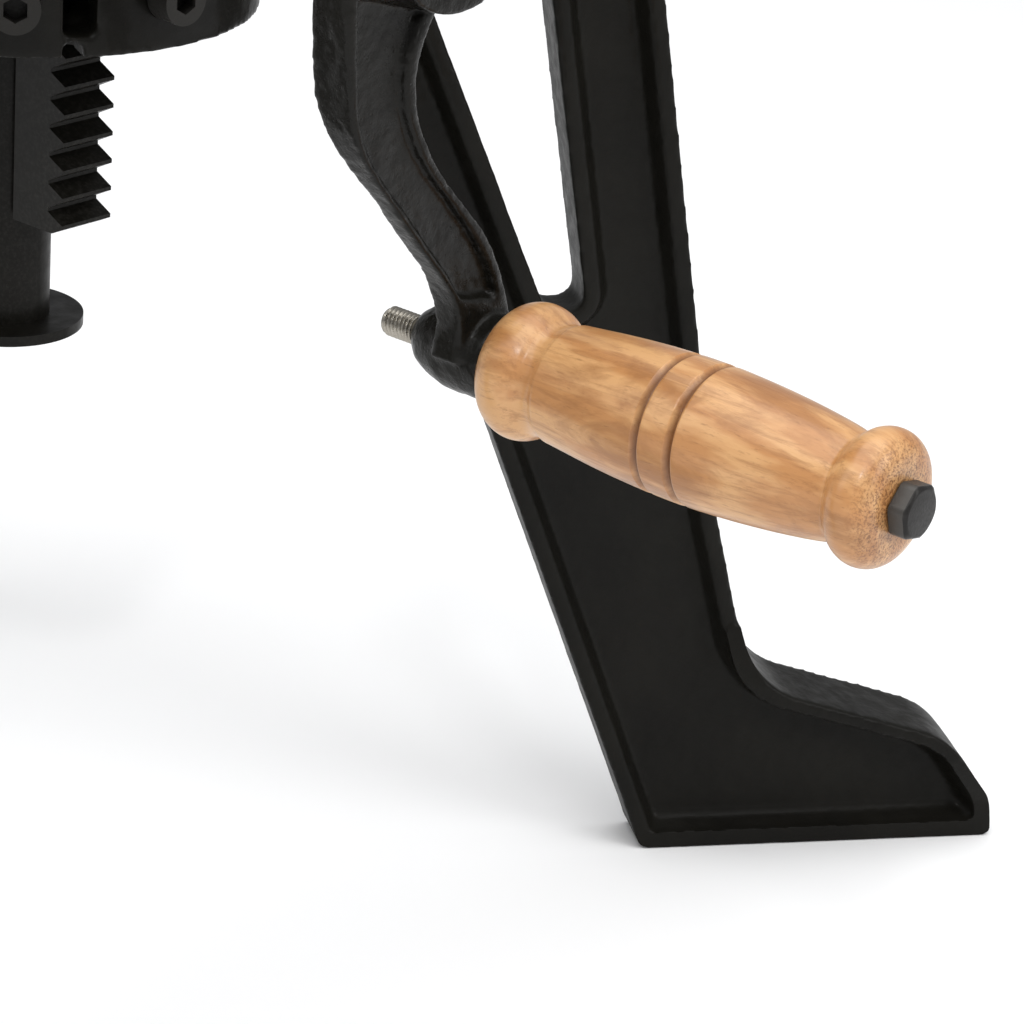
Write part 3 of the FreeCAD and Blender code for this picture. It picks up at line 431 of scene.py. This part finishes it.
def make_stud():
    """The handle's stud: plain in the grip, threaded where it passes the arm and stands out behind it."""
    start, thread_end, end = 136.0, 176.0, 296.7
    rows = [start + i * 0.1 for i in range(int((thread_end - start) / 0.1) + 1)] + [thread_end + 1, end]

    def radius_at(row, angle):
        x = rows[row]
        if x > thread_end:
            return x, 3.95
        phase = (x / THREAD_PITCH - angle / (2 * math.pi)) % 1.0
        ridge = min(1.0, max(0.0, 1.25 * (1 - abs(2 * phase - 1)) - 0.05))
        chamfer = min(1.0, (x - start) / 1.1 + 0.15)
        return x, 3.3 + 0.68 * ridge * chamfer - 0.3 * (1 - chamfer)

    return smooth(grid_of_revolution("threaded_stud", len(rows), 64, radius_at, HANDLE_AXIS, "caps"), 60)


CORNER_CUT, CROWN = 0.35, 0.93


def make_hex_head(name, low, high, flats, centre, turn=0.0, chamfer=0.8):
    """A forged hexagon head with rounded edges and a chamfered crown."""
    radius = flats / 2 / math.cos(math.pi / 6)
    work = bmesh.new()
    levels = ((low, False), (low + 0.25, False), (high - chamfer, False), (high, True))
    steps = 72
    rings = []
    for x, crowned in levels:
        ring = []
        for step in range(steps):
            angle = 2 * math.pi * step / steps
            hexagon = flats / 2 / math.cos((angle % (math.pi / 3)) - math.pi / 6)
            reach = min(hexagon, radius - CORNER_CUT)
            if crowned:
                reach = min(hexagon, flats / 2 * 0.985) * CROWN
            ring.append(work.verts.new((x * MM, (centre[0] + reach * math.cos(angle + turn)) * MM,
                                        (centre[1] + reach * math.sin(angle + turn)) * MM)))
        rings.append(ring)
    for first, second in zip(rings, rings[1:]):
        for step in range(steps):
            ahead = (step + 1) % steps
            work.faces.new((first[step], first[ahead], second[ahead], second[step]))
    work.faces.new(list(reversed(rings[0])))
    work.faces.new(rings[-1])
    bmesh.ops.recalc_face_normals(work, faces=work.faces)
    mesh = bpy.data.meshes.new(name)
    work.to_mesh(mesh)
    work.free()
    made = new_object(name, mesh)
    bevel = made.modifiers.new("edges", "BEVEL")
    bevel.width = 0.3 * MM
    bevel.segments = 3
    bevel.limit_method = "ANGLE"
    bevel.angle_limit = math.radians(28)
    return smooth(applied(made), 35)


dress(make_stud(), "crank", STUD_STEEL, slot_of["handle_bolt"], "handle_bolt")
dress(make_hex_head("handle_bolt_head", 296.6, 301.85, 13.0, HANDLE_AXIS, math.radians(-12)), "crank",
      HEAD_STEEL,
      slot_of["handle_bolt"], "handle_bolt")

for name, finish in CARRIED_OVER.items():
    item = nodes[name]
    item.data.materials.clear()
    item.data.materials.append(finish)


# ---------------------------------------------------------------- floor, light and camera
def make_floor():
    mesh = bpy.data.meshes.new("studio_floor")
    mesh.from_pydata([(-8, -8, -0.0004), (8, -8, -0.0004), (8, 8, -0.0004), (-8, 8, -0.0004)], [],
                     [(0, 1, 2, 3)])
    floor = new_object("studio_floor", mesh)
    made, tree, shader = material("studio_floor", specular=0.1)
    shade = noise(tree, place(tree), 3.0, 2)
    tree.links.new(ramp(tree, shade, [(0.3, 0.90), (0.7, 0.92)]), shader.inputs["Base Color"])
    shader.inputs["Roughness"].default_value = 0.9
    floor.data.materials.append(made)


def area_light(name, place_at, aim, size, power, colour=(1, 1, 1)):
    data = bpy.data.lights.new(name, "AREA")
    data.shape = "RECTANGLE"
    data.size, data.size_y = size
    data.energy = power
    data.color = colour
    lamp = bpy.data.objects.new(name, data)
    bpy.context.scene.collection.objects.link(lamp)
    lamp.location = place_at
    lamp.rotation_euler = (Vector(aim) - Vector(place_at)).to_track_quat("-Z", "Y").to_euler()


make_floor()
area_light("top_softbox", (0.2, -0.3, 2.4), (0.1, 0, 0.2), (3.0, 3.0), 62)
area_light("left_softbox", (-1.2, -1.6, 1.3), (0.1, 0, 0.2), (1.0, 1.4), 6)
area_light("glint_light", (0.9, -1.1, 1.5), (0.16, 0, 0.25), (0.12, 0.12), 5)
area_light("right_softbox", (2.0, 0.5, 1.2), (0.1, 0, 0.2), (1.0, 1.4), 14)

world = bpy.data.worlds.new("studio_world")
bpy.context.scene.world = world
world.use_nodes = True
world.node_tree.nodes["Background"].inputs["Color"].default_value = (0.97, 0.98, 1.0, 1)
world.node_tree.nodes["Background"].inputs["Strength"].default_value = 0.5

CAMERA_AT = Vector((0.6923, -0.6472, 0.5253))
CAMERA_RIGHT = Vector((0.7668, 0.6376, 0.0734))
CAMERA_UP = Vector((-0.3028, 0.2585, 0.9173))
CAMERA_AHEAD = Vector((-0.5659, 0.7257, -0.3913))
camera_data = bpy.data.cameras.new("camera")
camera_data.sensor_width = 36.0
camera_data.lens = 123.9
camera_data.clip_start = 0.02
camera = bpy.data.objects.new("camera", camera_data)
bpy.context.scene.collection.objects.link(camera)
axes = Matrix((CAMERA_RIGHT, CAMERA_UP, -CAMERA_AHEAD)).transposed()
camera.matrix_world = Matrix.Translation(CAMERA_AT) @ axes.to_4x4()
bpy.context.scene.camera = camera
bpy.context.scene.view_settings.view_transform = "Standard"
